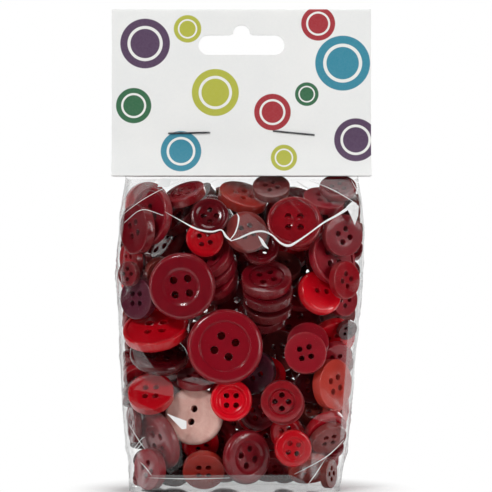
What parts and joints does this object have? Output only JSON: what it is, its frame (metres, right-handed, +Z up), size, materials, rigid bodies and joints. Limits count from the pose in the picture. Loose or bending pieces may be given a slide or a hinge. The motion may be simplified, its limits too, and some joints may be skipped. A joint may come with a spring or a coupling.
{
  "type": "hanging bag of buttons",
  "caption": "Clear film bag of assorted red sewing buttons, closed by a folded header card with a hang slot and wire staples.",
  "frame": {"origin": "middle of the bag's flat foot", "axes": "+Z up to the card's fold, +X to the right of the front, the front faces -Y"},
  "size_m": [0.0794, 0.04, 0.1471],
  "materials": {
    "white_card": "smooth coated card",
    "clear_film": "clear glossy film",
    "staple_wire": "bright wire",
    "crimson_plastic": "polished moulded plastic",
    "red_plastic": "polished moulded plastic",
    "scarlet_plastic": "polished moulded plastic",
    "burgundy_plastic": "polished moulded plastic",
    "maroon_plastic": "polished moulded plastic",
    "rosewood_plastic": "polished moulded plastic",
    "coral_plastic": "polished moulded plastic",
    "pearl_plastic": "polished moulded plastic",
    "plum_plastic": "polished moulded plastic",
    "umber_plastic": "polished moulded plastic"
  },
  "bodies": {
    "root": {"header_card": "white_card", "film_bag": "clear_film", "staple_left": "staple_wire", "staple_right": "staple_wire", "buttons_crimson_rimmed_36": "crimson_plastic", "buttons_crimson_dished_32": "crimson_plastic", "buttons_red_lipped_26": "red_plastic", "buttons_burgundy_flat_20": "burgundy_plastic", "buttons_red_stepped_20": "red_plastic", "buttons_scarlet_framed_20": "scarlet_plastic", "buttons_pearl_domed_28": "pearl_plastic", "buttons_scarlet_shirt_18": "scarlet_plastic", "buttons_maroon_dished_18": "maroon_plastic", "buttons_scarlet_dished_18": "scarlet_plastic", "buttons_coral_flat_24": "coral_plastic", "buttons_rosewood_flat_20": "rosewood_plastic", "buttons_burgundy_dished_26": "burgundy_plastic", "buttons_burgundy_lipped_26": "burgundy_plastic", "buttons_red_flat_18": "red_plastic", "buttons_scarlet_domed_22": "scarlet_plastic", "buttons_maroon_stepped_24": "maroon_plastic", "buttons_rosewood_flat_18": "rosewood_plastic", "buttons_maroon_flat_24": "maroon_plastic", "buttons_crimson_lipped_28": "crimson_plastic", "buttons_maroon_dished_28": "maroon_plastic", "buttons_red_dished_28": "red_plastic", "buttons_crimson_flat_20": "crimson_plastic", "buttons_scarlet_lipped_32": "scarlet_plastic", "buttons_plum_flat_20": "plum_plastic", "buttons_crimson_stepped_22": "crimson_plastic", "buttons_scarlet_flat_22": "scarlet_plastic", "buttons_umber_stepped_18": "umber_plastic", "buttons_red_lipped_24": "red_plastic", "buttons_burgundy_rimmed_28": "burgundy_plastic", "buttons_coral_flat_20": "coral_plastic"}
  },
  "joints": []
}
